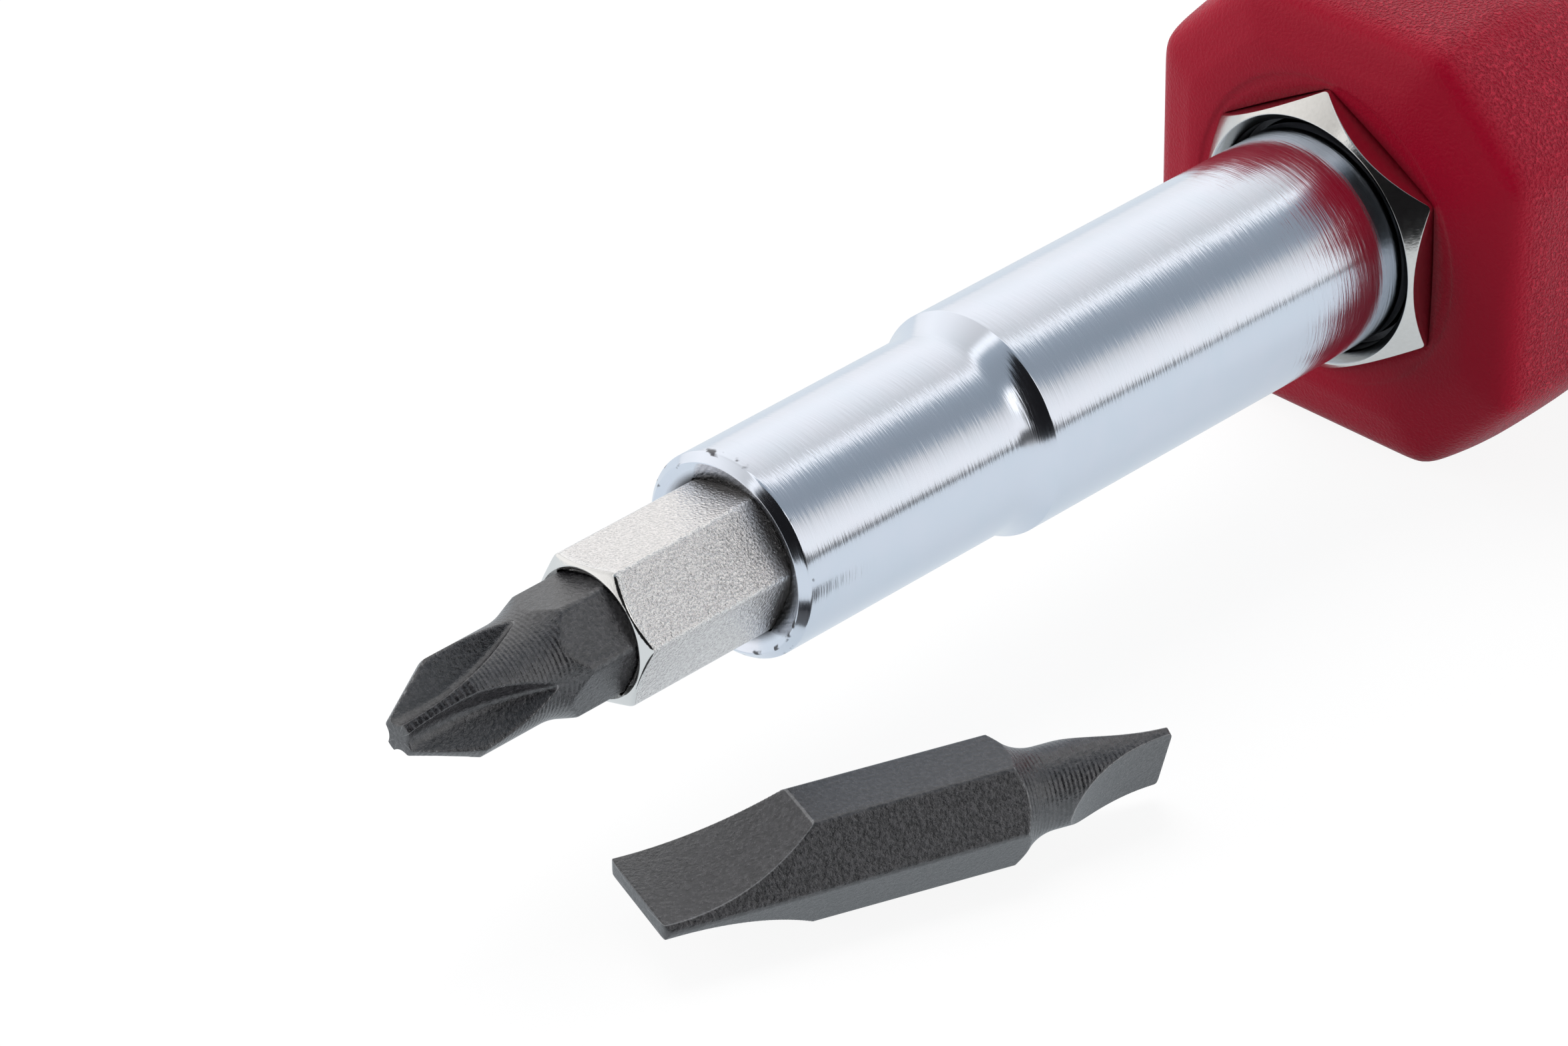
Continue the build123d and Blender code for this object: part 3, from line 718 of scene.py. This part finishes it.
class Network:
    """The nodes of a material or a world."""

    def __init__(self, owner):
        owner.use_nodes = True
        self.tree = owner.node_tree

    def node(self, kind, settings, inputs, output=0):
        """Adds a node: its settings are set first, then its sockets get values or links."""
        made = self.tree.nodes.new(kind)
        for key, value in settings.items():
            setattr(made, key, value)
        for key, value in inputs.items():
            if isinstance(value, Signal):
                self.tree.links.new(value.socket, made.inputs[key])
            else:
                made.inputs[key].default_value = value
        return Signal(self, made.outputs[output])

    def mix(self, share, a, b):
        """Colour a where share is 0, b where it is 1."""
        a, b = [c if isinstance(c, Signal) else (*c, 1) for c in (a, b)]
        settings = {"data_type": "RGBA"}
        return self.node("ShaderNodeMix", settings, {0: share, 6: a, 7: b}, 2)

    def show(self, socket_name, signal):
        """Links a signal to the network's output node."""
        out = next(n for n in self.tree.nodes if n.bl_idname.startswith("ShaderNodeOutput"))
        self.tree.links.new(signal.socket, out.inputs[socket_name])

    def background_rays(self):
        """1 for rays that should see the white ground: camera, glossy and transmission rays."""
        kinds = ["Is Camera Ray", "Is Glossy Ray", "Is Transmission Ray"]
        camera, glossy, through = [self.node("ShaderNodeLightPath", {}, {}, k) for k in kinds]
        return camera, glossy + through


class Finish(Network):
    """A procedural material, read in the object's own coordinates, with sizes in millimetres."""

    def __init__(self, name, **shader):
        self.material = bpy.data.materials.new(name)
        super().__init__(self.material)
        self.shader = self.tree.nodes["Principled BSDF"]
        self.place = self.node("ShaderNodeTexCoord", {}, {}, "Object")
        self.feed(**shader)

    def feed(self, **sockets):
        """Sets sockets of the shader, named with _ for a space."""
        for name, value in sockets.items():
            socket = self.shader.inputs[name.replace("_", " ")]
            if isinstance(value, Signal):
                self.tree.links.new(value.socket, socket)
            else:
                socket.default_value = value

    def noise(self, size, stretch=(1, 1, 1), detail=3.0, rough=0.5):
        """Noise with features about size millimetres across, longer where stretch is larger."""
        scale = tuple(1 / (size * MM * s) for s in stretch)
        place = self.node("ShaderNodeMapping", {}, {"Vector": self.place, "Scale": scale})
        return self.node(
            "ShaderNodeTexNoise",
            {},
            {"Vector": place, "Scale": 1.0, "Detail": detail, "Roughness": rough},
        )

    def edge(self):
        """The mesh's own mark: 1 on an edge, and below 0 where a part is worked in another way, and
        also in the bolster's bore and the barrel's socket, where the finishes paint shade near
        black.
        """
        settings = {"attribute_name": "edge"}
        return self.node("ShaderNodeAttribute", settings, {}, "Fac")

    def bump(self, height, depth):
        """Relief of the given depth in millimetres where height goes from 0 to 1."""
        inputs = {"Height": height, "Distance": depth * MM}
        self.feed(Normal=self.node("ShaderNodeBump", {}, inputs))


# %% [markdown]
# ## Finishes
# The handle is matt plastic with a fine leathery grain that fades out on its edges, where the
# mould was polished; the grain's raised cells are painted lighter, as painted glints. The metals
# differ in colour and in how they were worked: bright zinc on turned steel, nickel on a
# sand-grained sleeve, and black phosphate on the bits, thin and rubbed on their edges. The
# bolster's bore and the barrel's socket are painted near black, as painted shade.

# %% Handle plastic
plastic = Finish("crimson_plastic", Specular_IOR_Level=0.1)
smooth = plastic.edge()
grain = plastic.noise(0.2, detail=2, rough=0.55).step(0.3, 0.7)
tone = plastic.noise(9, detail=2)
# The grain's raised cells are painted lighter and pinker than its pits: painted glints on the real
# grain relief, with a large random tone mixed in.
crimson_and_painted_glints = plastic.mix(grain * 0.85 + tone * 0.15, (0.23, 0.005, 0.018), (0.40, 0.024, 0.045))
plastic.feed(Base_Color=plastic.mix(smooth, crimson_and_painted_glints, (0.23, 0.002, 0.014)))
plastic.feed(Roughness=0.3 + 0.1 * grain)
plastic.bump(grain * (1 - 0.92 * smooth), 0.15)

# %% Zinc plate
zinc = Finish("bright_zinc", Metallic=1.0)
marks = zinc.noise(0.08, (1, 14, 14), 3, 0.6)
lines = zinc.noise(0.17, (1, 16, 16), 2)
cloud = zinc.noise(2.2, detail=3)
colour = zinc.mix(cloud, (0.73, 0.79, 0.87), (0.80, 0.82, 0.90))
chips = zinc.noise(0.9, detail=2).step(0.6, 0.7) * zinc.edge().step(0.3, 0.8)
# Inside the barrel's socket the mark is below 0, and there the colour goes near black, darker
# deeper in: painted shade.
hollow = (0 - zinc.edge()).step(0.3, 1.0)
colour = zinc.mix(chips, colour, (0.12, 0.12, 0.13))
zinc.feed(Base_Color=zinc.mix(hollow, colour, (0.03, 0.03, 0.032)))
zinc.feed(Roughness=0.08 + 0.1 * marks + 0.04 * cloud + 0.2 * chips)
zinc.bump(0.4 * marks + lines, 0.011)

# %% Nickel plate
nickel = Finish("nickel_plate", Metallic=1.0)
scuffs = nickel.noise(0.25, detail=4, rough=0.65)
mark = nickel.edge()
countersunk, painted_bore_shade = (0 - mark).step(0.1, 0.4), (0 - mark).step(0.6, 0.95)
colour = nickel.mix(scuffs, (0.66, 0.64, 0.61), (0.78, 0.76, 0.73))
colour = nickel.mix(countersunk, colour, (0.6, 0.59, 0.56))
# In the bore, where the mark is -1, the colour goes near black: painted shade.
nickel.feed(Base_Color=nickel.mix(painted_bore_shade, colour, (0.03, 0.03, 0.032)))
nickel.feed(Roughness=0.1 + 0.14 * scuffs)
nickel.bump(scuffs, 0.008)

sleeve_plate = Finish("sand_grained_plate")
sand = sleeve_plate.noise(0.15, detail=2, rough=0.5)
mark = sleeve_plate.edge()
rub, bare = mark.step(0, 1), (0 - mark).step(0.3, 0.8)
colour = sleeve_plate.mix(sand.step(0.2, 0.8), (0.7, 0.675, 0.665), (0.9, 0.875, 0.86))
colour = sleeve_plate.mix(rub * 0.6, colour, (0.88, 0.87, 0.86))
sleeve_plate.feed(Base_Color=sleeve_plate.mix(bare, colour, (0.8, 0.79, 0.77)))
sleeve_plate.feed(Metallic=0.85 + 0.15 * bare)
sleeve_plate.feed(Roughness=0.2 + 0.1 * sand - 0.06 * rub - 0.12 * bare)
sleeve_plate.bump(sand * (1 - 0.9 * bare), 0.09)


# %% Phosphated steel
ring_spacing = 0.28


def phosphated(name, yaw=0.0):
    """Black phosphate on a bit that is turned by yaw on the table. A negative mark is a part that
    was turned in a lathe, and has fine rings: sin(2 pi x / spacing)."""
    finish = Finish(name, IOR=1.92)
    turned_back = {"Vector": finish.place, "Rotation": (0, 0, -yaw)}
    finish.place = finish.node("ShaderNodeMapping", {}, turned_back)
    grit = finish.noise(0.25, detail=4, rough=0.65)
    blotch = finish.noise(1.5, detail=3)
    mark = finish.edge()
    rubbed = (mark + 0.6 * grit - 0.3).step(0.4, 1.0)
    along_bit = finish.node("ShaderNodeSeparateXYZ", {}, {0: finish.place}, "X")
    rings = along_bit.maths("SINE", along_bit * (2 * np.pi / (ring_spacing * MM)))
    crystals = grit.step(0.38, 0.62) * 0.75 + blotch * 0.25
    colour = finish.mix(crystals, (0.003, 0.0028, 0.004), (0.036, 0.0345, 0.038))
    finish.feed(Base_Color=finish.mix(rubbed * 0.7, colour, (0.2, 0.2, 0.205)))
    finish.feed(Roughness=0.17 + 0.17 * grit)
    finish.bump(grit + 0.2 * rings * (0 - mark).step(0.2, 0.9), 0.06)
    return finish


phosphate = phosphated("dark_phosphate")
loose_phosphate = phosphated("dark_phosphate_loose_bit", yaw)

# %% Balls and springs
ball_steel = Finish("polished_ball_steel", Metallic=1.0)
film = ball_steel.noise(0.4)
ball_steel.feed(Base_Color=ball_steel.mix(film, (0.68, 0.68, 0.69), (0.8, 0.8, 0.8)))
ball_steel.feed(Roughness=0.12 + 0.1 * film)
wire = Finish("drawn_wire", Metallic=1.0)
draw = wire.noise(0.08)
wire.feed(Base_Color=wire.mix(draw, (0.4, 0.4, 0.41), (0.55, 0.55, 0.56)))
wire.feed(Roughness=0.3 + 0.15 * draw)

# %% [markdown]
# ## Dressing
# Each new piece takes the place of a CAD node, rides on the body that the node belongs to, and
# gets its finish. The balls and springs are CAD nodes whose shape is right already, so they only
# get a finish.

# %% Put the finishes on and tie each piece to its body
dressed = [
    (handle, plastic, "driver", "handle", "handle_plastic"),
    (bolster, nickel, "driver", "bolster", "bolster_nickel"),
    (barrel, zinc, "driver", "barrel", "barrel_zinc"),
    (wings, zinc, "driver", "barrel", "barrel_zinc"),
    (sleeve, sleeve_plate, "sleeve", "sleeve", "sleeve_steel"),
    (phillips, phosphate, "phillips_bit", "phillips_bit", "bit_steel"),
    (slotted, loose_phosphate, "slotted_bit", "slotted_bit", "bit_steel"),
]
for piece, finish, body, node, slot in dressed:
    piece.data.materials.append(finish.material)
    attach(piece, body)
    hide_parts(node)
for node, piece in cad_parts.items():
    if node.endswith(("_ball", "_spring")):
        finish = ball_steel if node.endswith("_ball") else wire
        for slot in piece.material_slots:
            slot.material = finish.material

# %% [markdown]
# ## Studio
# The picture has a pure white ground. The tool lies on a pale table, and long soft boxes stand
# beside it: one low on the near side and one overhead that reaches down on the far side. The gap
# between them is dim and a strip below the near one is dark, and polished metal shows both, which
# gives the shaft its stripes. The world is this studio: its brightness depends on the angle round
# the tool's axis, and the boxes are a little askew to the tool. Besides, one small patch is bright
# and a large one round the camera is dark. The camera sees the ground as white through the Light
# Path node, so the lamps stay at a plain level.

# %% Table
table = bpy.data.materials.new("white_table")
surface = Network(table)
camera_ray, mirror_ray = surface.background_rays()
matt = surface.node("ShaderNodeBsdfDiffuse", {}, {"Color": (0.9, 0.9, 0.9, 1)})
tint = surface.mix(mirror_ray, (1, 1, 1), (0.92, 1, 1.06))
glow_inputs = {"Color": tint, "Strength": 1 - 0.23 * mirror_ray}
glow = surface.node("ShaderNodeEmission", {}, glow_inputs)
seen = camera_ray * 0.9 + mirror_ray * 0.85
surface.show("Surface", surface.node("ShaderNodeMixShader", {}, {0: seen, 1: matt, 2: glow}))
table_near, table_far, table_side = -0.2, 3.0, 3.0
table_gap = 0.05
table_level = (floor_z - table_gap) * MM
table_mesh = bpy.data.meshes.new("table")
table_corners = [
    (-table_side, table_near, table_level),
    (table_side, table_near, table_level),
    (table_side, table_far, table_level),
    (-table_side, table_far, table_level),
]
table_mesh.from_pydata(table_corners, [], [(0, 1, 2, 3)])
table_mesh.materials.append(table)
table_top = bpy.data.objects.new("table", table_mesh)
bpy.context.collection.objects.link(table_top)

# %% World
world = bpy.data.worlds.new("white_studio")
bpy.context.scene.world = world
room = Network(world)
towards = room.node("ShaderNodeTexCoord", {}, {}, "Generated")
along_tool, aside, high = [
    room.node("ShaderNodeSeparateXYZ", {}, {0: towards}, axis) for axis in "XYZ"
]
skew = (along_tool.step(0.35, 0.85) - 0.5) * 0.35
angle = high.maths("ARCTAN2", high, aside * -1) + skew
ramp = room.node("ShaderNodeValToRGB", {}, {0: angle * (0.5 / np.pi) + 0.5})
stops = ramp.socket.node.color_ramp.elements
# Degrees round the axis, as for a turn, and how bright the studio is there
brightness = [
    (-180, 0.9),
    (-90, 0.7),
    (-14, 0.6),
    (-9, 0.1),
    (0, 0.1),
    (3, 1.05),
    (18, 0.98),
    (30, 0.85),
    (38, 0.65),
    (44, 0.4),
    (54, 0.33),
    (70, 0.36),
    (82, 0.45),
    (87, 1.25),
    (92, 1.25),
    (97, 0.65),
    (115, 0.85),
    (130, 1.0),
    (150, 1.1),
    (180, 0.95),
]
for degrees, value in brightness:
    place = degrees / 360 + 0.5
    first = degrees == -180
    stop = stops[0] if first else stops[-1] if degrees == 180 else stops.new(place)
    cool = 0.12 if 40 < degrees < 83 else 0
    stop.position, stop.color = place, (value * (1 - cool), value, value * (1 + cool), 1)


def patch(middle, inner, outer):
    """1 within inner degrees of a direction, falling to 0 at outer degrees."""
    inputs = {0: towards, 1: Vector(middle).normalized()}
    facing = room.node("ShaderNodeVectorMath", {"operation": "DOT_PRODUCT"}, inputs, "Value")
    return facing.step(np.cos(np.radians(outer)), np.cos(np.radians(inner)))


near_box = room.mix(patch((0.22, -0.74, 0.63), 6, 16), ramp, (1.5, 1.5, 1.5))
shade = room.mix(patch((-0.62, -0.7, 0.35), 45, 51), near_box, (0.01, 0.01, 0.011))
soft_light = room.node("ShaderNodeBackground", {}, {"Color": shade})
white = room.node("ShaderNodeBackground", {}, {"Color": (1, 1, 1, 1)})
camera_ray = room.background_rays()[0]
room.show("Surface", room.node("ShaderNodeMixShader", {}, {0: camera_ray, 1: soft_light, 2: white}))


# %% Lamps
lamp_aim = Vector((-0.02, 0, 0))


def lamp(name, place, size, power):
    """Square soft box of size metres at place, turned to face the tool. The world already holds
    the boxes that metal reflects, so the lamp itself isn't mirrored."""
    light = bpy.data.lights.new(name, "AREA")
    light.shape, light.size, light.energy = "SQUARE", size, power
    box = bpy.data.objects.new(name, light)
    box.location = place
    direction = lamp_aim - Vector(place)
    box.rotation_euler = direction.to_track_quat("-Z", "Y").to_euler()
    box.visible_glossy = False
    bpy.context.collection.objects.link(box)


lamp("top_box", (0.05, 0.25, 0.55), 0.4, 2.5)
lamp("left_box", (-0.4, 0.42, 0.14), 0.4, 2.1)
lamp("right_box", (0.1, -0.6, 0.02), 0.4, 3.3)
lamp("front_box", (-0.5, -0.2, 0.01), 0.3, 0.4)

# %% [markdown]
# ## Camera
# The camera's place and lens were worked out from the straight edges in the picture: a long lens,
# 42 cm away, that looks down at 32 degrees and along the tool at 45. Its axes are built from yaw,
# pitch and a small roll.

# %% Camera
picture_width, focal_pixels = 2350, 10845.58
camera_place = Vector((-276.726, -233.462, 207.102)) * MM
yaw, pitch, roll = np.radians([44.930, -32.044, -0.748])
ahead = Vector((np.cos(pitch) * np.cos(yaw), np.cos(pitch) * np.sin(yaw), np.sin(pitch)))
level = ahead.cross(Vector((0, 0, 1))).normalized()
above = level.cross(ahead)
right = level * np.cos(roll) + above * np.sin(roll)
upright = above * np.cos(roll) - level * np.sin(roll)
camera_data = bpy.data.cameras.new("camera")
camera_data.sensor_width = 36
camera_data.lens = focal_pixels * camera_data.sensor_width / picture_width
camera_data.clip_start, camera_data.clip_end = 0.01, 20
camera = bpy.data.objects.new("camera", camera_data)
facing = Matrix((right, upright, -ahead)).transposed().to_4x4()
camera.matrix_world = Matrix.Translation(camera_place) @ facing
bpy.context.collection.objects.link(camera)
bpy.context.scene.camera = camera
bpy.context.scene.view_settings.view_transform = "Standard"
